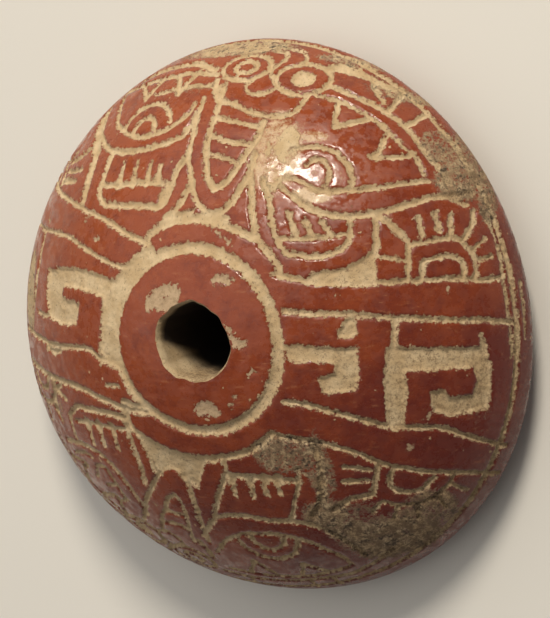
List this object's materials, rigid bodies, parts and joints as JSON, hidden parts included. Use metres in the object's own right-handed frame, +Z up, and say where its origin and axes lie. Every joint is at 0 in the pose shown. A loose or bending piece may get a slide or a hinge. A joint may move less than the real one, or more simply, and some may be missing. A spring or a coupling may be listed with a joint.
{
  "type": "spindle whorl",
  "caption": "Domed clay spindle whorl with a flat base and a central hole for the spindle, carved with stepped frets and fanged faces.",
  "frame": {"origin": "middle of the flat base, below the middle of the outline", "axes": "+Z up through the hole and the dome's crown, +X along the right fret band, +Y towards the upper face"},
  "size_m": [0.0518, 0.0522, 0.0198],
  "materials": {
    "slipped_clay": "low-fired clay with a burnished red-brown slip, carved through to the buff clay"
  },
  "bodies": {
    "root": {"spindle_whorl": "slipped_clay"}
  },
  "joints": []
}
